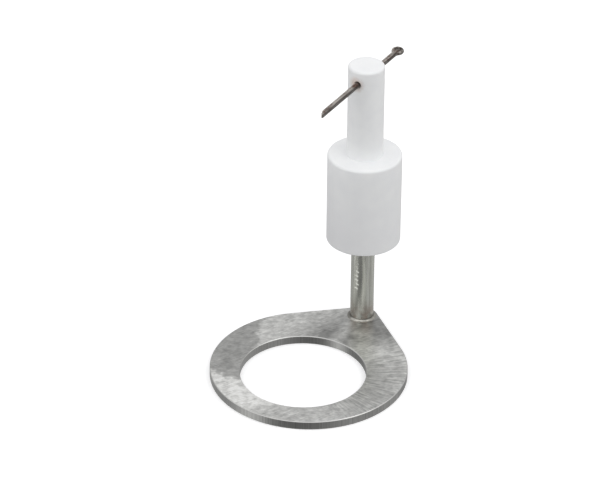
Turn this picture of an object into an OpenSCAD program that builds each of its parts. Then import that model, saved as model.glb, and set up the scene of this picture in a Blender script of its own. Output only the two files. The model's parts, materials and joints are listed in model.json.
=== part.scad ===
// Lobed ring plate carrying a welded post, a screwed-on stand-off insulator and a split pin.
// Millimetres. Origin: centre of the ring's bore on the plate's underside. +Z up, the post on +Y.

/* [Ring plate] */
// Outside diameter of the ring
ring_d = 76.2; // [70:0.1:95]
// Diameter of the large bore
bore_d = 48.6; // [36:0.1:52]
// How far the outside circle sits from the bore's centre, towards the lobe
ring_shift = 4.3; // [0:0.1:6]
// Plate thickness
plate_t = 3.5; // [2:0.1:8]
// Bore centre to post axis
lobe_reach = 46; // [42:0.5:60]
// Metal left round the post's foot at the rounded end of the lobe
lobe_margin = 1.6; // [1.4:0.1:5]

/* [Post] */
// Diameter of the post
post_d = 9.2; // [8.2:0.1:12]
// Height of the post between plate and insulator
post_h = 36.1; // [20:0.1:60]
// Chamfer round the post's top edge
post_chamfer = 0.7; // [0.2:0.05:0.8]
// Diameter of the spigot that locates the post in the plate
spigot_d = 6.4; // [4:0.1:7]
// Outside diameter of the threaded end that screws into the insulator
stud_d = 6.35; // [4:0.05:6.4]
// Length of that threaded end
stud_l = 14; // [8:0.5:24]
// Leg of the weld fillet round the post's foot
weld_leg = 1.1; // [0.4:0.1:1.3]

/* [Insulator] */
// Diameter of the wide body
body_d = 28.8; // [20:0.1:40]
// Height of the wide body
body_h = 37.7; // [26:0.1:60]
// Diameter of the neck
neck_d = 14; // [10:0.1:18]
// Height of the neck above the body's shoulder
neck_h = 38.4; // [14:0.1:60]
// Radius round the top edges of body and neck
edge_r = 1; // [0.2:0.1:2]

/* [Split pin] */
// Diameter of the two half-round legs together
pin_d = 2.24; // [1.6:0.02:3.2]
// Middle of the pin, below the top of the neck
pin_drop = 5.5; // [4:0.1:10]
// Reach of the longer leg from the neck's axis
long_leg = 34.2; // [20:0.1:50]
// How much shorter the other leg is
leg_step = 2.6; // [0:0.1:6]
// Distance from the neck's axis to where the legs part for the eye
eye_start = 21.7; // [14:0.1:40]
// Flat inside radius of the eye
eye_r = 1.33; // [1:0.01:2.5]
// Flat radius of the reverse bend that leads into the eye
bend_r = 2.4; // [1.7:0.1:5]

/* [Clearances] */
// Radial clearance of the spigot and the threaded end in their holes
seat_gap = 0.05; // [0.02:0.01:0.1]
// Depth left under the threaded end in its blind hole
stud_bottom_gap = 1; // [0.5:0.1:3]
// Extra diameter of the cross-hole over the split pin
pin_hole_gap = 0.56; // [0.2:0.02:1]
// Gap under the split pin where it lies in the cross-hole
pin_rest_gap = 0.03; // [0.02:0.01:0.1]
// Gap between the flats of the split pin's legs
leg_gap = 0.06; // [0.04:0.01:0.3]

/* [View] */
// Sub-part to show

/* [Hidden] */
$fn = 96;
// How far a cutting solid runs past the face it cuts
over = 1;

ring_r = ring_d / 2;
lobe_r = post_d / 2 + lobe_margin;
// Angle at which the lobe's straight sides leave the ring
side_angle = asin((ring_r - lobe_r) / (lobe_reach - ring_shift));

post_top = plate_t + post_h;
shoulder_z = post_top + body_h;
neck_top = shoulder_z + neck_h;

pin_z = neck_top - pin_drop;
pin_hole_d = pin_d + pin_hole_gap;
pin_hole_z = pin_z + pin_hole_gap / 2 - pin_rest_gap;
// Each leg is half of a round wire, with its flat towards the other leg
half_r = (pin_d - leg_gap) / 2;
leg_flat = leg_gap / 2;
// The eye's arc and each reverse bend touch on the line between their centres
bend_x = leg_flat + bend_r;
eye_lead = sqrt(pow(bend_r + eye_r, 2) - pow(bend_x, 2));
bend_angle = acos(bend_x / (bend_r + eye_r));
// The wire is slightly fuller in the reverse bends, so the stretches on both sides end inside them
bend_swell = 0.01;
leg_join = 0.1;
// Degrees of the eye's arc that lie inside each reverse bend
eye_join = 3;

metal = [0.66, 0.66, 0.65];
weld_metal = [0.6, 0.58, 0.55];
pin_metal = [0.5, 0.48, 0.46];
white = [0.92, 0.93, 0.93];

// Round disc of the plate's thickness, centred on the symmetry plane
module plate_disc(r, y) {
    translate([0, y, 0])
        cylinder(h = plate_t, r = r);
}

// Web between ring and lobe, bounded by the two straight sides
module plate_web() {
    ring_x = ring_r * cos(side_angle);
    ring_y = ring_shift + ring_r * sin(side_angle);
    lobe_x = lobe_r * cos(side_angle);
    lobe_y = lobe_reach + lobe_r * sin(side_angle);
    linear_extrude(plate_t)
        polygon([[-ring_x, ring_y], [ring_x, ring_y], [lobe_x, lobe_y], [-lobe_x, lobe_y]]);
}

module ring_plate() {
    color(metal)
        difference() {
            union() {
                plate_disc(ring_r, ring_shift);
                plate_web();
                plate_disc(lobe_r, lobe_reach);
            }
            translate([0, 0, -over])
                cylinder(h = plate_t + 2 * over, d = bore_d);
            translate([0, lobe_reach, -over])
                cylinder(h = plate_t + 2 * over, d = spigot_d + 2 * seat_gap);
        }
}

module post() {
    color(metal)
        translate([0, lobe_reach, 0]) {
            cylinder(h = plate_t + over, d = spigot_d);
            translate([0, 0, plate_t])
                cylinder(h = post_h - post_chamfer, d = post_d);
            translate([0, 0, post_top - post_chamfer])
                cylinder(h = post_chamfer, d1 = post_d, d2 = post_d - 2 * post_chamfer);
            translate([0, 0, post_top - over])
                cylinder(h = stud_l + over, d = stud_d);
        }
}

module post_weld() {
    color(weld_metal)
        translate([0, lobe_reach, plate_t])
            rotate_extrude()
                translate([post_d / 2, 0])
                    polygon([[0, 0], [weld_leg, 0], [0, weld_leg]]);
}

// Solid cylinder standing at z with a rounded top edge
module rounded_cylinder(z, h, r) {
    translate([0, 0, z])
        rotate_extrude() {
            square([r - edge_r, h]);
            square([r, h - edge_r]);
            translate([r - edge_r, h - edge_r])
                circle(edge_r);
        }
}

module insulator() {
    color(white)
        translate([0, lobe_reach, 0])
            difference() {
                union() {
                    rounded_cylinder(post_top, body_h, body_d / 2);
                    rounded_cylinder(post_top + edge_r, body_h + neck_h - edge_r, neck_d / 2);
                }
                translate([0, 0, post_top - over])
                    cylinder(h = stud_l + stud_bottom_gap + over, d = stud_d + 2 * seat_gap);
                translate([0, 0, pin_hole_z])
                    rotate([90, 0, 0])
                        cylinder(h = neck_d + 2 * over, d = pin_hole_d, center = true);
            }
}

// Half disc with its flat at the radius r. side 1 lies outside r, -1 inside. swell adds wire all round
module half_disc(r, side, swell = 0) {
    translate([r - side * swell, 0])
        intersection() {
            circle(half_r + 2 * swell);
            translate([side > 0 ? 0 : -pin_d, -pin_d])
                square([pin_d, 2 * pin_d]);
        }
}

// One straight leg from its tip into the reverse bend. side is the side of X that it lies on
module leg(side, reach) {
    translate([0, -reach, 0])
        rotate([90, 0, 180])
            linear_extrude(reach + eye_start + leg_join)
                half_disc(-side * leg_flat, -side);
}

// Reverse bend on the +X side, between the leg and the eye
module reverse_bend() {
    translate([bend_x, eye_start, 0])
        rotate([0, 0, 180 - bend_angle])
            rotate_extrude(angle = bend_angle)
                half_disc(bend_r, -1, bend_swell);
}

// The eye's arc, which runs a little way into both reverse bends
module eye() {
    translate([0, eye_start + eye_lead, 0])
        rotate([0, 0, -bend_angle - eye_join])
            rotate_extrude(angle = 180 + 2 * (bend_angle + eye_join))
                half_disc(eye_r, 1);
}

module split_pin() {
    color(pin_metal)
        translate([0, lobe_reach, pin_z]) {
            leg(1, long_leg);
            leg(-1, long_leg - leg_step);
            reverse_bend();
            mirror([1, 0, 0])
                reverse_bend();
            eye();
        }
}

ring_plate();
post();
post_weld();
insulator();
split_pin();
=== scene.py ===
"""Looks of a lobed ring plate with a welded post, a stand-off insulator and a split pin.

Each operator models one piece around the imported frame, in metres. The origin is the middle of the
ring's bore on the plate's underside, +Z is up, and the post stands on +Y. Run it as a script.
"""

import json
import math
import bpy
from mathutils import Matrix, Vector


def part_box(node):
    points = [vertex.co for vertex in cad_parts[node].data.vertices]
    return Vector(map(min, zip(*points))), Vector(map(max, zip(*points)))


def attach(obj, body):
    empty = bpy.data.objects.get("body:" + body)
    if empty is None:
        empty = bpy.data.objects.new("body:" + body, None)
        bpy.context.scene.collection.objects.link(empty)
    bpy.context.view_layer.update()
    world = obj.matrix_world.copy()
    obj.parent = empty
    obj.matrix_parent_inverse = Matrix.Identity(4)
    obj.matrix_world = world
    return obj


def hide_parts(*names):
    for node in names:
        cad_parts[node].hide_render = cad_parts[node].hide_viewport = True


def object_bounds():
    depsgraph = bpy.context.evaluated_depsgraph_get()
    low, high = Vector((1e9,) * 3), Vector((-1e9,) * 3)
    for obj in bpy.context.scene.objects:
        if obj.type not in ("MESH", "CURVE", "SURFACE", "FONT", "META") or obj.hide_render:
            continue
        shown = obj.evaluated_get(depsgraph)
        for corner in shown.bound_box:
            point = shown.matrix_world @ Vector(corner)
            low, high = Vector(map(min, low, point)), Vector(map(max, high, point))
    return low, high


bl_info = {
    "name": "Stand-off insulator on a ring plate",
    "version": (1, 0, 0),
    "blender": (4, 5, 0),
    "location": "3D View > Sidebar > Stand-off",
    "description": "Models the ring plate, post, weld, insulator and split pin, and a plain studio",
    "category": "Object",
}

import bpy
from mathutils import Vector

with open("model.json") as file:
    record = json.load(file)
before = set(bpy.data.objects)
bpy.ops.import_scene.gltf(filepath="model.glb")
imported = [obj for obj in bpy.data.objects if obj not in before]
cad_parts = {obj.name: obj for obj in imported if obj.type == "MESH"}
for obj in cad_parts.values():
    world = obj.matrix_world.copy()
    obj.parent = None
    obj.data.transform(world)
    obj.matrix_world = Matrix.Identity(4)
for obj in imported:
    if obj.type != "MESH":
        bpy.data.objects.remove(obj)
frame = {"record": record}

MM = 0.001
FIXED_BODY = "stand_off"
LOOSE_BODY = "split_pin"

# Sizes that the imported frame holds, which are the defaults of the settings below.
CAD_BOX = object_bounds()
PLATE_LOW, PLATE_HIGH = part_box("ring_plate")
POST_LOW, POST_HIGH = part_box("post")
WELD_LOW, WELD_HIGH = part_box("post_weld")
BODY_LOW, BODY_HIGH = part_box("insulator")
PIN_LOW, PIN_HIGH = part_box("split_pin")
MOUNTS = {mount["name"]: mount for mount in frame["record"]["mounts"]}

POST_AXIS_Y = (POST_LOW.y + POST_HIGH.y) / 2
PLATE_TOP = PLATE_HIGH.z
RING_RADIUS = PLATE_HIGH.x
PIN_Z = (PIN_LOW.z + PIN_HIGH.z) / 2
NECK_RADIUS = MOUNTS["neck"]["dims"]["r_mm"] * MM
SHOULDER_Z = MOUNTS["shoulder_seat"]["pos_m"][2]

SEAT_GAP = 0.05 * MM  # round the spigot in the plate, and round the thread in the insulator
SAME_PLACE = 0.0005 * MM  # vertices nearer than this are one


# ---------------------------------------------------------------- settings


class RingPlateSizes(bpy.types.PropertyGroup):
    """Sizes of the flat plate, in metres"""

    ring_radius: bpy.props.FloatProperty(
        name="Ring radius", description="Outside radius of the ring",
        default=RING_RADIUS, unit="LENGTH")
    bore_radius: bpy.props.FloatProperty(
        name="Bore radius", description="Radius of the large bore at the origin",
        default=MOUNTS["ring_bore"]["dims"]["r_mm"] * MM, unit="LENGTH")
    lobe_radius: bpy.props.FloatProperty(
        name="Lobe radius", description="Radius of the rounded tip round the post",
        default=PLATE_HIGH.y - POST_AXIS_Y, unit="LENGTH")
    thickness: bpy.props.FloatProperty(
        name="Thickness", description="Plate thickness", default=PLATE_TOP, unit="LENGTH")
    edge_break: bpy.props.FloatProperty(
        name="Edge break", description="Width of the filed edges",
        default=0.3 * MM, unit="LENGTH")


class PostSizes(bpy.types.PropertyGroup):
    """Sizes of the round post and its weld, in metres"""

    radius: bpy.props.FloatProperty(
        name="Radius", description="Radius of the bar",
        default=(POST_HIGH.x - POST_LOW.x) / 2, unit="LENGTH")
    spigot_radius: bpy.props.FloatProperty(
        name="Spigot radius", description="Radius of the end that sits in the plate",
        default=3.2 * MM, unit="LENGTH")
    stud_radius: bpy.props.FloatProperty(
        name="Stud radius", description="Outside radius of the threaded end",
        default=3.175 * MM, unit="LENGTH")
    chamfer: bpy.props.FloatProperty(
        name="Chamfer", description="Chamfer under the insulator",
        default=0.7 * MM, unit="LENGTH")
    thread_pitch: bpy.props.FloatProperty(
        name="Thread pitch", description="Pitch of the threaded end",
        default=1.27 * MM, unit="LENGTH")
    weld_leg: bpy.props.FloatProperty(
        name="Weld leg", description="Leg of the weld fillet round the foot",
        default=WELD_HIGH.z - WELD_LOW.z, unit="LENGTH")
    tooth_marks: bpy.props.IntProperty(
        name="Tooth marks", description="Marks that the gripping tool left down each side",
        default=7, min=0, max=12)


class InsulatorSizes(bpy.types.PropertyGroup):
    """Sizes of the shouldered insulator, in metres"""

    body_radius: bpy.props.FloatProperty(
        name="Body radius", description="Radius of the wide lower body",
        default=(BODY_HIGH.x - BODY_LOW.x) / 2, unit="LENGTH")
    neck_radius: bpy.props.FloatProperty(
        name="Neck radius", description="Radius of the neck", default=NECK_RADIUS, unit="LENGTH")
    top_round: bpy.props.FloatProperty(
        name="Top round", description="Radius round the top edges of body and neck",
        default=1.0 * MM, unit="LENGTH")
    foot_round: bpy.props.FloatProperty(
        name="Foot round", description="Radius round the body's lower edge",
        default=0.4 * MM, unit="LENGTH")
    hole_radius: bpy.props.FloatProperty(
        name="Cross-hole radius", description="Radius of the hole for the split pin",
        default=1.4 * MM, unit="LENGTH")
    hole_mouth: bpy.props.FloatProperty(
        name="Hole mouth", description="How far the cross-hole's mouths are countersunk",
        default=0.12 * MM, unit="LENGTH")


class SplitPinSizes(bpy.types.PropertyGroup):
    """Sizes of the split pin, in metres"""

    diameter: bpy.props.FloatProperty(
        name="Diameter", description="Diameter of both legs together",
        default=2.24 * MM, unit="LENGTH")
    leg_gap: bpy.props.FloatProperty(
        name="Leg gap", description="Gap between the flats of the legs",
        default=0.06 * MM, unit="LENGTH")
    leg_step: bpy.props.FloatProperty(
        name="Leg step", description="How much shorter the second leg is",
        default=2.6 * MM, unit="LENGTH")
    eye_radius: bpy.props.FloatProperty(
        name="Eye radius", description="Inside radius of the eye",
        default=1.33 * MM, unit="LENGTH")
    bend_radius: bpy.props.FloatProperty(
        name="Bend radius", description="Radius of the reverse bends that lead into the eye",
        default=2.4 * MM, unit="LENGTH")
    corner: bpy.props.FloatProperty(
        name="Corner", description="Rounding of the half-round wire's corners",
        default=0.12 * MM, unit="LENGTH")


class StudioSettings(bpy.types.PropertyGroup):
    """Camera and light"""

    azimuth: bpy.props.FloatProperty(
        name="Azimuth", description="Turn of the camera round the object from straight in front",
        default=math.radians(30), subtype="ANGLE")
    elevation: bpy.props.FloatProperty(
        name="Elevation", description="Height of the camera above the horizon",
        default=math.radians(31.59), subtype="ANGLE")
    roll: bpy.props.FloatProperty(
        name="Roll", description="Tilt of the camera about its own axis",
        default=math.radians(0.44), subtype="ANGLE")
    aim: bpy.props.FloatVectorProperty(
        name="Aim",
        description="The point that the camera looks at, from the middle of the object's box",
        default=(-8.5 * MM, -7.97 * MM, -4.15 * MM), subtype="TRANSLATION")
    distance: bpy.props.FloatProperty(
        name="Distance", description="From the camera to the point that it looks at",
        default=1.239, unit="LENGTH")
    focal_length: bpy.props.FloatProperty(
        name="Focal length", description="Lens focal length in millimetres on a 36 mm wide frame",
        default=195.9)
    floor_colour: bpy.props.FloatVectorProperty(
        name="Floor", description="Colour of the floor", subtype="COLOR_GAMMA",
        default=(0.97, 0.97, 0.97), min=0, max=1)


SETTINGS = {
    "ring_plate_sizes": RingPlateSizes,
    "post_sizes": PostSizes,
    "insulator_sizes": InsulatorSizes,
    "split_pin_sizes": SplitPinSizes,
    "studio_settings": StudioSettings,
}


# ---------------------------------------------------------------- modelling helpers


def clear_selection():
    """Leave edit mode and deselect everything."""
    if bpy.context.object and bpy.context.object.mode != "OBJECT":
        bpy.ops.object.mode_set(mode="OBJECT")
    bpy.ops.object.select_all(action="DESELECT")


def start_outline(name, place):
    """Begin a piece with one vertex at place, and stay in edit mode with it selected."""
    clear_selection()
    bpy.ops.mesh.primitive_plane_add(size=MM)
    piece = bpy.context.object
    piece.name = name
    piece.data.name = name
    bpy.ops.object.mode_set(mode="EDIT")
    bpy.ops.mesh.select_all(action="SELECT")
    bpy.ops.mesh.merge(type="CENTER")
    bpy.ops.transform.translate(value=place)
    return piece


def step(offset):
    """Extrude what is selected by an offset."""
    bpy.ops.mesh.extrude_region_move(TRANSFORM_OT_translate={"value": offset})


def turn(centre, axis, angle, steps):
    """Extrude what is selected round an axis, right-handed. The spin operator turns the other way."""
    bpy.ops.mesh.spin(steps=steps, angle=-angle, center=centre, axis=axis)


def run_profile(name, points):
    """Draw a chain of straight stretches through the points."""
    piece = start_outline(name, points[0])
    for here, there in zip(points, points[1:]):
        step(Vector(there) - Vector(here))
    return piece


def revolve(centre, steps, axis=(0, 0, 1)):
    """Turn the drawn profile all round an axis through the centre, and close it."""
    bpy.ops.mesh.select_all(action="SELECT")
    turn(centre, axis, 2 * math.pi, steps)
    close_surface()


def close_surface():
    """Merge what coincides and point every face outwards."""
    bpy.ops.mesh.select_all(action="SELECT")
    bpy.ops.mesh.remove_doubles(threshold=SAME_PLACE)
    bpy.ops.mesh.normals_make_consistent(inside=False)
    bpy.ops.object.mode_set(mode="OBJECT")


def apply_modifier(piece, kind, **settings):
    """Add a modifier with its settings and apply it."""
    clear_selection()
    piece.select_set(True)
    bpy.context.view_layer.objects.active = piece
    modifier = piece.modifiers.new(kind.title(), kind)
    for name, value in settings.items():
        setattr(modifier, name, value)
    bpy.ops.object.modifier_apply(modifier=modifier.name)


def cut(piece, cutter):
    """Subtract the cutter from the piece and remove the cutter."""
    apply_modifier(piece, "BOOLEAN", operation="DIFFERENCE", solver="EXACT", object=cutter)
    bpy.data.objects.remove(cutter)


def cylinder_cutter(radius, low, high, sides):
    """A plain round cutter along Z between two points."""
    clear_selection()
    middle = (Vector(low) + Vector(high)) / 2
    length = (Vector(high) - Vector(low)).length
    bpy.ops.mesh.primitive_cylinder_add(
        vertices=sides, radius=radius, depth=length, location=middle)
    return bpy.context.object


def settle(piece, smooth_angle=30):
    """Place the mesh at the origin and shade it, keeping flat faces flat beside their rounded edges."""
    clear_selection()
    piece.select_set(True)
    bpy.context.view_layer.objects.active = piece
    bpy.ops.object.transform_apply(location=True, rotation=True, scale=True)
    bpy.ops.object.shade_smooth_by_angle(angle=math.radians(smooth_angle))
    apply_modifier(piece, "WEIGHTED_NORMAL", keep_sharp=True, weight=100)


def hand_over(piece, body, node, material):
    """Give the piece its finish, and tell the frame what it rides on and stands for."""
    piece.data.materials.clear()
    piece.data.materials.append(material)
    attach(piece, body)
    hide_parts(node)


# ---------------------------------------------------------------- materials


def linear(hex_colour):
    """An sRGB hex value as linear red, green, blue and alpha."""
    channels = [int(hex_colour[i:i + 2], 16) / 255 for i in (1, 3, 5)]
    return (*(c / 12.92 if c <= 0.04045 else ((c + 0.055) / 1.055) ** 2.4 for c in channels), 1)


def add(tree, kind, inputs=None, **settings):
    """Add a node. Settings are its own properties, inputs its sockets' values or what is linked in."""
    node = tree.nodes.new(kind)
    for name, value in settings.items():
        setattr(node, name, value)
    for key, value in (inputs or {}).items():
        if isinstance(value, bpy.types.NodeSocket):
            tree.links.new(value, node.inputs[key])
        else:
            node.inputs[key].default_value = value
    return node


def new_material(name):
    """An empty node material with its output, and the Object coordinates that patterns start from."""
    material = bpy.data.materials.new(name)
    material.use_nodes = True
    tree = material.node_tree
    tree.nodes.clear()
    place = add(tree, "ShaderNodeTexCoord").outputs["Object"]
    return material, tree, place


def finish_material(tree, shader):
    """Connect the shader to the material's output."""
    add(tree, "ShaderNodeOutputMaterial", {"Surface": shader.outputs["BSDF"]})


def maths(tree, operation, first, second=0.0):
    """One operation on one or two values."""
    return add(tree, "ShaderNodeMath", {0: first, 1: second}, operation=operation).outputs["Value"]


def noise(tree, place, scale, detail=3.0, roughness=0.55):
    """Noise over the place, stretched by a scale for each axis, which is one over a real size."""
    sized = add(tree, "ShaderNodeMapping", {"Vector": place, "Scale": scale})
    return add(tree, "ShaderNodeTexNoise", {
        "Vector": sized.outputs["Vector"], "Scale": 1.0, "Detail": detail,
        "Roughness": roughness}).outputs["Fac"]


def streaks(tree, place, direction, length, width, detail=3.0):
    """Noise drawn out along a direction in the XY plane, for marks of a real length and width."""
    along = add(tree, "ShaderNodeMapping", {"Vector": place, "Rotation": (0, 0, -direction)})
    return noise(tree, along.outputs["Vector"], (1 / length, 1 / width, 1 / width), detail)


def blotches(tree, place, size, detail=2.0):
    """Noise with features of a real size."""
    return noise(tree, place, (1 / size,) * 3, detail, 0.5)


def ramp(tree, value, low, high, low_colour=(0, 0, 0, 1), high_colour=(1, 1, 1, 1)):
    """Blend from one colour to another as a value passes from low to high."""
    node = add(tree, "ShaderNodeValToRGB", {"Fac": value})
    first, last = node.color_ramp.elements
    first.position, first.color = low, low_colour
    last.position, last.color = high, high_colour
    return node.outputs["Color"]


def tones(tree, value, stops):
    """Grey that passes through the stops, each a position and a level."""
    node = add(tree, "ShaderNodeValToRGB", {"Fac": value})
    elements = node.color_ramp.elements
    while len(elements) < len(stops):
        elements.new(0.5)
    for element, (position, level) in zip(elements, stops):
        element.position = position
        element.color = (level, level, level, 1)
    return node.outputs["Color"]


def mix(tree, factor, first, second, blend="MIX"):
    """Mix two colours."""
    sockets = {0: factor, 6: first, 7: second}
    return add(tree, "ShaderNodeMix", sockets, data_type="RGBA", blend_type=blend).outputs[2]


def passing(tree, value, start, end, low, high):
    """Go from low to high as a value passes from start to end."""
    return add(tree, "ShaderNodeMapRange", {
        "Value": value, "From Min": start, "From Max": end,
        "To Min": low, "To Max": high}).outputs["Result"]


def spread(tree, value, low, high):
    """Bring the middle of a noise to a wider range."""
    return passing(tree, value, 0.3, 0.7, low, high)


def polar(tree, place, centre_y):
    """Distance and angle, from 0 to 1 for a whole turn, round the vertical axis at centre_y."""
    moved = add(tree, "ShaderNodeVectorMath", {
        0: place, 1: (0, -centre_y, 0)}, operation="ADD").outputs["Vector"]
    parts = add(tree, "ShaderNodeSeparateXYZ", {"Vector": moved})
    flat = add(tree, "ShaderNodeCombineXYZ", {"X": parts.outputs["X"], "Y": parts.outputs["Y"]})
    distance = add(tree, "ShaderNodeVectorMath", {0: flat.outputs["Vector"]}, operation="LENGTH")
    around = maths(tree, "ARCTAN2", parts.outputs["Y"], parts.outputs["X"])
    share = maths(tree, "FRACT", maths(tree, "MULTIPLY", around, 0.5 / math.pi))
    return distance.outputs["Value"], share


def bump(tree, height, strength, depth):
    """Surface normal that follows a height, with a depth in metres."""
    return add(tree, "ShaderNodeBump", {
        "Height": height, "Strength": strength, "Distance": depth}).outputs["Normal"]


def levelness(tree):
    """1 where the surface is level, whichever way up, and 0 where it is upright."""
    normal = add(tree, "ShaderNodeNewGeometry").outputs["Normal"]
    return maths(tree, "ABSOLUTE", add(tree, "ShaderNodeSeparateXYZ", {"Vector": normal}).outputs["Z"])


def on_level_faces(tree):
    """1 on level faces and 0 on the others, with a short blend between."""
    return ramp(tree, levelness(tree), 0.6, 0.9)


def ground_stainless():
    """Stainless sheet, ground flat by hand: each set of strokes lies its own way, and its tone is partly
    its own finish and partly painted sheen.
    """
    material, tree, place = new_material("ground_stainless_sheet")
    distance, share = polar(tree, place, 0)

    # Grinding strokes 5 to 9 mm long. Real ones are finer than 0.1 mm, so these are drawn wider.
    across = streaks(tree, place, math.radians(28), 9 * MM, 0.5 * MM, 5)
    crossing = streaks(tree, place, math.radians(62), 5 * MM, 0.45 * MM, 5)
    fan_radius = 30 * MM
    fan_place = add(tree, "ShaderNodeCombineXYZ", {
        "X": distance, "Y": maths(tree, "MULTIPLY", share, 2 * math.pi * fan_radius)})
    fan = noise(tree, fan_place.outputs["Vector"], (1 / (7 * MM), 1 / (0.8 * MM), 1), 5)
    crossed = mix(tree, ramp(tree, blotches(tree, place, 5 * MM), 0.46, 0.54), across, crossing)
    upper_right = ramp(tree, share, 0.14, 0.2, (1, 1, 1, 1), (0, 0, 0, 1))
    lower_right = ramp(tree, share, 0.88, 0.95)
    on_right = maths(tree, "MAXIMUM", upper_right, lower_right)
    strokes = mix(tree, on_right, crossed, fan)

    # Tone of each ground facet round the ring: partly the facet's own finish, partly painted sheen for
    # the light that its strokes catch. Its borders are ragged, and lean over across the ring.
    lean_from, lean_per_metre = 36.5 * MM, 3.2
    lean = maths(tree, "MULTIPLY", maths(tree, "SUBTRACT", distance, lean_from), lean_per_metre)
    wander = maths(tree, "SUBTRACT", blotches(tree, place, 3 * MM, 5), 0.5)
    ragged = maths(tree, "MULTIPLY", wander, 0.05)
    facet_place = maths(tree, "ADD", share, maths(tree, "ADD", lean, ragged))
    facet_tone_and_sheen = tones(tree, facet_place, (
        (0.0, 0.6), (0.09, 0.58), (0.12, 0.63), (0.15, 0.66), (0.175, 0.48), (0.195, 0.4), (0.21, 0.3),
        (0.255, 0.3), (0.3, 0.5), (0.335, 0.6), (0.38, 0.62), (0.405, 0.64), (0.418, 0.42), (0.5, 0.38),
        (0.575, 0.44), (0.59, 0.8), (0.69, 0.86), (0.74, 0.6), (0.8, 0.58), (0.88, 0.7), (1.0, 0.6)))
    # A lighter stroke runs from the post's foot to the bore, and an arc lies in front of the foot.
    parts = add(tree, "ShaderNodeSeparateXYZ", {"Vector": place})
    bent = maths(tree, "ADD", parts.outputs["X"], maths(tree, "MULTIPLY", ragged, 20 * MM))
    streak = ramp(tree, maths(tree, "ABSOLUTE", bent), 0.3 * MM, 1.6 * MM, (1, 1, 1, 1), (0, 0, 0, 1))
    at_back = ramp(tree, parts.outputs["Y"], 20 * MM, 24 * MM)
    foot_distance, foot_share = polar(tree, place, POST_AXIS_Y)
    from_arc = maths(tree, "ABSOLUTE", maths(tree, "SUBTRACT", foot_distance, 13.4 * MM))
    arc = ramp(tree, from_arc, 0.2 * MM, 0.8 * MM, (1, 1, 1, 1), (0, 0, 0, 1))
    in_front = tones(tree, foot_share, ((0.77, 0.0), (0.8, 1.0), (0.86, 1.0), (0.9, 0.0)))
    lighter = maths(tree, "MAXIMUM", maths(tree, "MULTIPLY", streak, at_back),
                    maths(tree, "MULTIPLY", arc, in_front))
    facet_tone_and_sheen = maths(tree, "ADD", facet_tone_and_sheen, maths(tree, "MULTIPLY", lighter, 0.26))

    contrast = mix(tree, on_right, spread(tree, strokes, 0.76, 1.26), spread(tree, strokes, 0.68, 1.36))
    level = maths(tree, "MULTIPLY", facet_tone_and_sheen, contrast)
    top = maths(tree, "MULTIPLY", level, spread(tree, blotches(tree, place, 2.2 * MM, 4), 0.8, 1.2))

    # The sawn edge is duller, with upright marks that are drawn wider than real ones.
    marks_round = 2 * math.pi * RING_RADIUS / (0.665 * MM)
    edge_place = add(tree, "ShaderNodeCombineXYZ", {"X": maths(tree, "MULTIPLY", share, marks_round)})
    edge = spread(tree, noise(tree, edge_place.outputs["Vector"], (1, 1, 1), 4), 0.26, 0.5)
    # Along the lobe's straight side the edge is duller still.
    edge = maths(tree, "MULTIPLY", edge, tones(tree, share, (
        (0.02, 1.0), (0.05, 0.62), (0.2, 0.62), (0.24, 1.0))))
    grey = mix(tree, on_level_faces(tree), edge, top)
    # Painted highlight: the filed edges, halfway between level and upright, are painted brighter.
    filed_edge_highlight = tones(tree, levelness(tree), ((0.4, 0.0), (0.6, 0.8), (0.8, 0.8), (0.95, 0.0)))
    grey = mix(tree, filed_edge_highlight, grey, (0.6, 0.6, 0.6, 1))
    colour = mix(tree, 1.0, grey, linear("#fffffc"), "MULTIPLY")
    shader = add(tree, "ShaderNodeBsdfPrincipled", {
        "Base Color": colour, "Metallic": 1.0, "Roughness": spread(tree, strokes, 0.42, 0.28),
        "Normal": bump(tree, strokes, 0.35, 0.03 * MM)})
    finish_material(tree, shader)
    return material


def drawn_steel_bar():
    """Bright drawn bar: faint lines along its length, and a brown heat tint above the weld."""
    material, tree, place = new_material("bright_drawn_bar")
    lines = noise(tree, place, (1 / (0.7 * MM), 1 / (0.7 * MM), 1 / (14 * MM)), 4)
    stain = blotches(tree, place, 2.5 * MM, 3)
    base_tone = mix(tree, ramp(tree, lines, 0.32, 0.68), linear("#b8b9b1"), linear("#cfd0c9"))
    height = add(tree, "ShaderNodeSeparateXYZ", {"Vector": place}).outputs["Z"]
    low_down = passing(tree, height, PLATE_TOP, PLATE_TOP + 10 * MM, 1.0, 0.0)
    tint = maths(tree, "MULTIPLY", low_down, ramp(tree, stain, 0.3, 0.6))
    tinted = mix(tree, tint, base_tone, linear("#9a887d"))
    shader = add(tree, "ShaderNodeBsdfPrincipled", {
        "Base Color": tinted, "Metallic": 1.0, "Roughness": spread(tree, lines, 0.32, 0.2),
        "Normal": bump(tree, lines, 0.2, 0.02 * MM)})
    finish_material(tree, shader)
    return material


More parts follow.
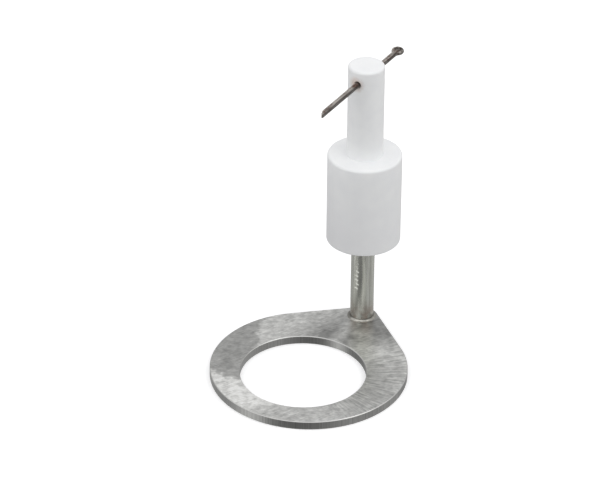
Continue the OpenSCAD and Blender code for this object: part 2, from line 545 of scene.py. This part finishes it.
def weld_metal():
    """Fused stainless weld: a smooth bead with small ripples, with painted sheen brightest at the front
    of the foot and at the toe.
    """
    material, tree, place = new_material("fused_weld")
    ripples = blotches(tree, place, 1.4 * MM, 2)
    # Painted sheen: the front of the foot, which faces the camera, is painted bright, and the left and
    # the back darker.
    share = polar(tree, place, POST_AXIS_Y)[1]
    base_tone = tones(tree, share, (
        (0.0, 0.34), (0.1, 0.3), (0.5, 0.2), (0.64, 0.22), (0.74, 0.5), (0.84, 0.46), (0.9, 0.34)))
    # Painted highlight: the toe of the bead, against the plate, where it faces most upwards, is painted
    # brightest.
    height = add(tree, "ShaderNodeSeparateXYZ", {"Vector": place}).outputs["Z"]
    toe_highlight = passing(tree, height, WELD_LOW.z + 0.3 * MM, WELD_HIGH.z, 1.1, 0.5)
    level = maths(tree, "MULTIPLY", base_tone, toe_highlight)
    level = maths(tree, "MULTIPLY", level, maths(tree, "ADD", ripples, 0.5))
    colour = mix(tree, 1.0, level, linear("#fbf8ee"), "MULTIPLY")
    shader = add(tree, "ShaderNodeBsdfPrincipled", {
        "Base Color": colour, "Metallic": 1.0, "Roughness": 0.3,
        "Normal": bump(tree, ripples, 0.25, 0.05 * MM)})
    finish_material(tree, shader)
    return material


def white_ceramic():
    """Unglazed white ceramic, turned smooth: chalky and a little translucent, with rust by the pin."""
    material, tree, place = new_material("unglazed_white_ceramic")
    grain = noise(tree, place, (1 / (0.5 * MM),) * 3, 3)
    turning = noise(tree, place, (1 / (40 * MM), 1 / (40 * MM), 1 / (0.6 * MM)), 3)
    cloudy = ramp(tree, blotches(tree, place, 5 * MM), 0.3, 0.7)
    white = mix(tree, cloudy, linear("#eff0f1"), linear("#f3f4f4"))
    # Painted shade: the body is painted slightly greyer towards its foot, most on the left.
    parts = add(tree, "ShaderNodeSeparateXYZ", {"Vector": place})
    low_down = passing(tree, parts.outputs["Z"], BODY_LOW.z + 6 * MM, SHOULDER_Z, 0.9, 0.0)
    leftwards = passing(tree, parts.outputs["X"], BODY_LOW.x, BODY_HIGH.x, 1.0, 0.35)
    painted_foot_shade = maths(tree, "MULTIPLY", low_down, leftwards)
    white = mix(tree, painted_foot_shade, white, linear("#dedee0"))
    # A rust stain spreads from the front mouth of the cross-hole.
    mouth = Vector((-0.6 * MM, POST_AXIS_Y - NECK_RADIUS, PIN_Z))
    offset = add(tree, "ShaderNodeVectorMath", {0: place, 1: mouth}, operation="DISTANCE")
    uneven = maths(tree, "MULTIPLY", blotches(tree, place, 1.2 * MM, 3), 1.6 * MM)
    reach = maths(tree, "ADD", offset.outputs["Value"], uneven)
    rust = passing(tree, reach, 2.0 * MM, 4.4 * MM, 0.55, 0.0)
    colour = mix(tree, rust, white, linear("#c9a78f"))
    surface = maths(tree, "ADD", grain, turning)
    shader = add(tree, "ShaderNodeBsdfPrincipled", {
        "Base Color": colour, "Roughness": 0.55, "Subsurface Weight": 0.3,
        "Subsurface Radius": (1.0, 1.0, 1.0), "Subsurface Scale": 4 * MM,
        "Normal": bump(tree, surface, 0.15, 0.03 * MM)})
    finish_material(tree, shader)
    return material


def pin_wire():
    """Plain drawn steel wire, dull grey brown, with rust in its lines."""
    material, tree, place = new_material("dull_steel_wire")
    lines = noise(tree, place, (1 / (0.35 * MM), 1 / (9 * MM), 1 / (0.35 * MM)), 4)
    rust = blotches(tree, place, 2.5 * MM, 4)
    steel = mix(tree, ramp(tree, lines, 0.35, 0.65), linear("#6f6862"), linear("#e6e0d9"))
    rusted = mix(tree, ramp(tree, rust, 0.5, 0.75), steel, linear("#6e4a3c"))
    # Grime fills the join between the legs, and painted shade lies along the lower outer side of the pin.
    parts = add(tree, "ShaderNodeSeparateXYZ", {"Vector": place})
    outwards = maths(tree, "MULTIPLY", parts.outputs["X"], 0.8)
    downwards = maths(tree, "MULTIPLY", maths(tree, "SUBTRACT", parts.outputs["Z"], PIN_Z), -0.6)
    across = passing(tree, maths(tree, "ADD", outwards, downwards), -1.1 * MM, 1.1 * MM, 0.0, 1.0)
    base_tone = tones(tree, across, (
        (0.0, 0.88), (0.4, 0.88), (0.5, 0.68), (0.62, 0.32), (0.82, 0.32), (1.0, 0.55)))
    colour = mix(tree, 1.0, rusted, base_tone, "MULTIPLY")
    shader = add(tree, "ShaderNodeBsdfPrincipled", {
        "Base Color": colour, "Metallic": 1.0, "Roughness": 0.42,
        "Normal": bump(tree, lines, 0.3, 0.03 * MM)})
    finish_material(tree, shader)
    return material


def floor_paper(colour):
    """Matt white backdrop paper, lit a little from below so that it stays pale."""
    material, tree, place = new_material("backdrop_paper")
    shader = add(tree, "ShaderNodeBsdfPrincipled", {
        "Base Color": (*colour, 1), "Roughness": 0.9, "Emission Color": (1, 1, 1, 1),
        "Emission Strength": 0.25})
    finish_material(tree, shader)
    return material


# ---------------------------------------------------------------- operators


class BuildRingPlate(bpy.types.Operator):
    """Draw the lobed outline, raise it to the plate's thickness, cut its holes and break its edges"""

    bl_idname = "stand_off.ring_plate"
    bl_label = "Ring plate"

    def execute(self, context):
        sizes = context.scene.ring_plate_sizes
        ring, lobe = sizes.ring_radius, sizes.lobe_radius
        ring_y = PLATE_LOW.y + ring
        # The straight sides touch both circles at this angle above the X axis.
        lean = math.asin((ring - lobe) / (POST_AXIS_Y - ring_y))
        side = Vector((math.cos(lean), math.sin(lean), 0))
        mirrored = Vector((-side.x, side.y, 0))
        ring_centre = Vector((0, ring_y, 0))
        lobe_centre = Vector((0, POST_AXIS_Y, 0))

        piece = start_outline("ring_plate_ground", ring_centre + ring * side)
        turn(ring_centre, (0, 0, 1), -(math.pi + 2 * lean), 240)
        step(lobe_centre + lobe * mirrored - (ring_centre + ring * mirrored))
        turn(lobe_centre, (0, 0, 1), -(math.pi - 2 * lean), 32)
        step(ring_centre + ring * side - (lobe_centre + lobe * side))
        bpy.ops.mesh.select_all(action="SELECT")
        bpy.ops.mesh.remove_doubles(threshold=SAME_PLACE)
        bpy.ops.mesh.edge_face_add()
        step((0, 0, sizes.thickness))
        close_surface()

        under, over = -MM, sizes.thickness + MM
        cut(piece, cylinder_cutter(sizes.bore_radius, (0, 0, under), (0, 0, over), 288))
        spigot_hole = context.scene.post_sizes.spigot_radius + SEAT_GAP
        cut(piece, cylinder_cutter(
            spigot_hole, (0, POST_AXIS_Y, under), (0, POST_AXIS_Y, over), 64))
        apply_modifier(
            piece, "BEVEL", width=sizes.edge_break, segments=1, limit_method="ANGLE",
            angle_limit=math.radians(50))
        settle(piece)
        hand_over(piece, FIXED_BODY, "ring_plate", ground_stainless())
        return {"FINISHED"}


class BuildPost(bpy.types.Operator):
    """Turn the post with its spigot and threaded end, and press the tooth marks into both sides"""

    bl_idname = "stand_off.post"
    bl_label = "Post"

    def execute(self, context):
        sizes = context.scene.post_sizes
        shoulder = BODY_LOW.z
        # A thread is some 0.6 of its pitch deep.
        thread_root = sizes.stud_radius - 0.6 * sizes.thread_pitch
        profile = [
            (0, 0), (sizes.spigot_radius, 0), (sizes.spigot_radius, PLATE_TOP),
            (sizes.radius, PLATE_TOP), (sizes.radius, shoulder - sizes.chamfer),
            (sizes.radius - sizes.chamfer, shoulder), (thread_root, shoulder)]
        ridges = int((POST_HIGH.z - shoulder) / sizes.thread_pitch) - 1
        for ridge in range(ridges):
            z = shoulder + (ridge + 0.5) * sizes.thread_pitch
            profile.append((thread_root, z))
            profile.append((sizes.stud_radius, z + 0.5 * sizes.thread_pitch))
        profile.append((thread_root, POST_HIGH.z - 0.2 * MM))
        profile.append((thread_root - 0.2 * MM, POST_HIGH.z))
        profile.append((0, POST_HIGH.z))
        piece = run_profile("post_bar", [(r, POST_AXIS_Y, z) for r, z in profile])
        revolve((0, POST_AXIS_Y, 0), 128)
        for side in (-1, 1):
            for mark in range(sizes.tooth_marks):
                cut(piece, self.tooth(sizes, side, mark))
        settle(piece)
        hand_over(piece, FIXED_BODY, "post", drawn_steel_bar())
        return {"FINISHED"}

    @staticmethod
    def tooth(sizes, side, mark):
        """A small square bar, laid on its edge across the side of the post, that cuts one mark."""
        first_height, spacing = 18.6 * MM, 1.9 * MM
        # Each mark drifts a little from the last in its place, slant and depth.
        drift = math.sin(2.3 * mark + side)
        clear_selection()
        bpy.ops.mesh.primitive_cube_add(
            size=1.0 * MM, rotation=(math.radians(45), math.radians(22 + 6 * drift), 0),
            location=(
                0.25 * MM * drift,
                POST_AXIS_Y + side * (sizes.radius + (0.36 + 0.06 * drift) * MM),
                first_height + spacing * mark))
        bar = bpy.context.object
        bar.scale.x = 1.5
        bpy.ops.object.transform_apply(location=True, rotation=True, scale=True)
        return bar


class BuildWeld(bpy.types.Operator):
    """Turn the small hollow weld fillet round the post's foot"""

    bl_idname = "stand_off.weld"
    bl_label = "Weld"

    def execute(self, context):
        sizes = context.scene.post_sizes
        leg = sizes.weld_leg
        sunk = 0.05 * MM
        piece = start_outline("weld_bead", (sizes.radius - sunk, POST_AXIS_Y, PLATE_TOP))
        step((0, 0, leg))
        step((sunk, 0, 0))
        # A hollow fillet: a quarter turn round a centre outside both faces.
        turn((sizes.radius + leg, POST_AXIS_Y, PLATE_TOP + leg), (0, 1, 0), -math.pi / 2, 8)
        step((-leg - sunk, 0, 0))
        revolve((0, POST_AXIS_Y, 0), 128)
        settle(piece, 60)
        hand_over(piece, FIXED_BODY, "post_weld", weld_metal())
        return {"FINISHED"}


class BuildInsulator(bpy.types.Operator):
    """Turn the shouldered body with rounded edges, and drill the cross-hole"""

    bl_idname = "stand_off.insulator"
    bl_label = "Insulator"

    def execute(self, context):
        sizes = context.scene.insulator_sizes
        round_, foot = sizes.top_round, sizes.foot_round
        low, top = BODY_LOW.z, BODY_HIGH.z
        hole = context.scene.post_sizes.stud_radius + SEAT_GAP
        hole_end = POST_HIGH.z + MM
        across = (0, 1, 0)
        quarter = math.pi / 2

        piece = start_outline("insulator_ceramic", (0, POST_AXIS_Y, hole_end))
        step((hole, 0, 0))
        step((0, 0, low - hole_end))
        step((sizes.body_radius - foot - hole, 0, 0))
        turn((sizes.body_radius - foot, POST_AXIS_Y, low + foot), across, -quarter, 6)
        step((0, 0, SHOULDER_Z - round_ - low - foot))
        turn((sizes.body_radius - round_, POST_AXIS_Y, SHOULDER_Z - round_), across, -quarter, 10)
        step((sizes.neck_radius - sizes.body_radius + round_, 0, 0))
        step((0, 0, top - round_ - SHOULDER_Z))
        turn((sizes.neck_radius - round_, POST_AXIS_Y, top - round_), across, -quarter, 10)
        step((round_ - sizes.neck_radius, 0, 0))
        revolve((0, POST_AXIS_Y, 0), 160)
        cut(piece, self.cross_hole(sizes))
        settle(piece)
        hand_over(piece, FIXED_BODY, "insulator", white_ceramic())
        return {"FINISHED"}

    @staticmethod
    def cross_hole(sizes):
        """A drill for the cross-hole: a straight shank that widens at each side of the neck."""
        narrow, mouth, past = sizes.hole_radius, sizes.hole_mouth, MM
        half = [
            (sizes.neck_radius + past, 0), (sizes.neck_radius + past, narrow + mouth + past),
            (sizes.neck_radius, narrow + mouth), (sizes.neck_radius - 2 * mouth, narrow)]
        profile = half + [(-y, r) for y, r in reversed(half)]
        drill = run_profile("cross_hole_drill", [(0, POST_AXIS_Y + y, PIN_Z + r) for y, r in profile])
        revolve((0, POST_AXIS_Y, PIN_Z), 64, (0, 1, 0))
        return drill


class BuildSplitPin(bpy.types.Operator):
    """Bend one half-round wire into the split pin: leg, reverse bend, eye, reverse bend, leg"""

    bl_idname = "stand_off.split_pin"
    bl_label = "Split pin"

    def execute(self, context):
        sizes = context.scene.split_pin_sizes
        flat = sizes.leg_gap / 2
        wire = sizes.diameter / 2 - flat
        bend, eye = sizes.bend_radius, sizes.eye_radius
        tip_y = PIN_LOW.y
        bend_x = flat + bend
        lead = math.sqrt((bend + eye) ** 2 - bend_x ** 2)
        bend_angle = math.acos(bend_x / (bend + eye))
        eye_y = PIN_HIGH.y - eye - wire
        leg_end = eye_y - lead
        upright = (0, 0, 1)

        piece = start_outline("split_pin_wire", (flat, tip_y, PIN_Z - wire))
        turn((flat, tip_y, PIN_Z), (0, 1, 0), -math.pi, 20)
        bpy.ops.mesh.select_all(action="SELECT")
        bpy.ops.mesh.edge_face_add()
        step((0, leg_end - tip_y, 0))
        turn((bend_x, leg_end, 0), upright, -bend_angle, 12)
        turn((0, eye_y, 0), upright, math.pi + 2 * bend_angle, 48)
        turn((-bend_x, leg_end, 0), upright, -bend_angle, 12)
        step((0, tip_y + sizes.leg_step - leg_end, 0))
        close_surface()
        apply_modifier(
            piece, "BEVEL", width=sizes.corner, segments=2, limit_method="ANGLE",
            angle_limit=math.radians(60))
        settle(piece, 40)
        hand_over(piece, LOOSE_BODY, "split_pin", pin_wire())
        return {"FINISHED"}


class BuildStudio(bpy.types.Operator):
    """Lay the pale floor, set the soft lights and place the camera"""

    bl_idname = "stand_off.studio"
    bl_label = "Studio"

    def execute(self, context):
        settings = context.scene.studio_settings
        turned = settings.azimuth
        back = Vector((-math.sin(turned), math.cos(turned), 0))
        right = Vector((math.cos(turned), math.sin(turned), 0))
        self.floor(context)
        self.tent(context, back, right)
        centre = Vector((0, POST_AXIS_Y, SHOULDER_Z))
        above = centre + Vector((0, 0, 0.8))
        self.softbox("overhead_light", above, centre, 0.7, 0.15)
        beside = centre + 0.3 * right - 0.2 * back + Vector((0, 0, 0.4))
        self.softbox("key_light", beside, centre, 0.3, 0.3)
        self.camera(context, back)
        context.scene.view_settings.view_transform = "Standard"
        return {"FINISHED"}

    @staticmethod
    def floor(context):
        """A wide sheet of backdrop paper, seen only by the camera, so that it throws no light upwards."""
        clear_selection()
        bpy.ops.mesh.primitive_plane_add(size=6, location=(0, 0, 0))
        floor = bpy.context.object
        floor.name = "studio_floor"
        floor.data.materials.append(floor_paper(context.scene.studio_settings.floor_colour))
        floor.visible_diffuse = False
        floor.visible_glossy = False

    @staticmethod
    def tent(context, back, right):
        """Light from a plain tent: pale above, a bright strip low on the left, dark behind the camera."""
        world = bpy.data.worlds.new("studio_tent")
        context.scene.world = world
        world.use_nodes = True
        tree = world.node_tree
        direction = add(tree, "ShaderNodeTexCoord").outputs["Generated"]

        def towards(vector):
            return add(tree, "ShaderNodeVectorMath", {
                0: direction, 1: vector}, operation="DOT_PRODUCT").outputs["Value"]

        # Round the horizon, 0.5 is where the camera stands and 0.75 is to its right.
        around = maths(tree, "ARCTAN2", towards(right), towards(-back))
        share = maths(tree, "ADD", maths(tree, "MULTIPLY", around, 0.5 / math.pi), 0.5)
        low_tone = tones(tree, share, (
            (0.0, 0.5), (0.24, 0.5), (0.28, 1.25), (0.325, 1.25), (0.37, 0.28), (0.47, 0.2),
            (0.555, 0.32), (0.64, 0.6), (0.71, 0.46), (0.8, 0.62), (1.0, 0.5)))
        high_tone = tones(tree, maths(tree, "ABSOLUTE", maths(tree, "SUBTRACT", share, 0.5)), (
            (0.05, 1.3), (0.25, 0.95), (0.45, 0.74)))
        overhead = ramp(tree, towards(Vector((0, 0, 1))), 0.6, 1.0)
        rise = ramp(tree, towards(Vector((0, 0, 1))), 0.0, 0.35)
        tone = mix(tree, rise, low_tone, mix(tree, overhead, high_tone, (0.84, 0.84, 0.86, 1)))
        tree.links.new(tone, tree.nodes["Background"].inputs["Color"])

    @staticmethod
    def camera(context, back):
        """The camera looks at a point near the object's middle from its azimuth and elevation."""
        settings = context.scene.studio_settings
        facing = back * math.cos(settings.elevation) - Vector((0, 0, math.sin(settings.elevation)))
        aim = (Vector(CAD_BOX[0]) + Vector(CAD_BOX[1])) / 2 + Vector(settings.aim)
        bpy.ops.object.camera_add(location=aim - settings.distance * facing)
        camera = bpy.context.object
        camera.name = "studio_camera"
        camera.data.sensor_width = 36
        camera.data.lens = settings.focal_length
        camera.rotation_euler = facing.to_track_quat("-Z", "Y").to_euler()
        camera.rotation_euler.rotate_axis("Z", settings.roll)
        context.scene.camera = camera

    @staticmethod
    def softbox(name, place, target, size, power):
        """A square soft light at place that faces target."""
        bpy.ops.object.light_add(type="AREA", location=place)
        light = bpy.context.object
        light.name = name
        light.data.size = size
        light.data.energy = power
        facing = Vector(target) - Vector(place)
        light.rotation_euler = facing.to_track_quat("-Z", "Y").to_euler()


BUILD_ORDER = (
    BuildRingPlate, BuildPost, BuildWeld, BuildInsulator, BuildSplitPin, BuildStudio)


class StandOffPanel(bpy.types.Panel):
    """Sizes and build steps of the stand-off"""

    bl_idname = "VIEW3D_PT_stand_off"
    bl_label = "Stand-off"
    bl_space_type = "VIEW_3D"
    bl_region_type = "UI"
    bl_category = "Stand-off"

    def draw(self, context):
        for name, group in SETTINGS.items():
            box = self.layout.box()
            box.label(text=name.replace("_", " ").capitalize())
            for key in group.__annotations__:
                box.prop(getattr(context.scene, name), key)
        for operator in BUILD_ORDER:
            self.layout.operator(operator.bl_idname)


def register():
    """Register the settings, operators and panel."""
    for name, group in SETTINGS.items():
        bpy.utils.register_class(group)
        setattr(bpy.types.Scene, name, bpy.props.PointerProperty(type=group))
    for cls in (*BUILD_ORDER, StandOffPanel):
        bpy.utils.register_class(cls)


def unregister():
    """Remove the settings, operators and panel."""
    for cls in reversed((*BUILD_ORDER, StandOffPanel)):
        bpy.utils.unregister_class(cls)
    for name, group in SETTINGS.items():
        delattr(bpy.types.Scene, name)
        bpy.utils.unregister_class(group)


def main():
    """Register the settings, and build every piece and the studio."""
    register()
    bpy.ops.stand_off.ring_plate()
    bpy.ops.stand_off.post()
    bpy.ops.stand_off.weld()
    bpy.ops.stand_off.insulator()
    bpy.ops.stand_off.split_pin()
    bpy.ops.stand_off.studio()


if __name__ == "__main__":
    main()
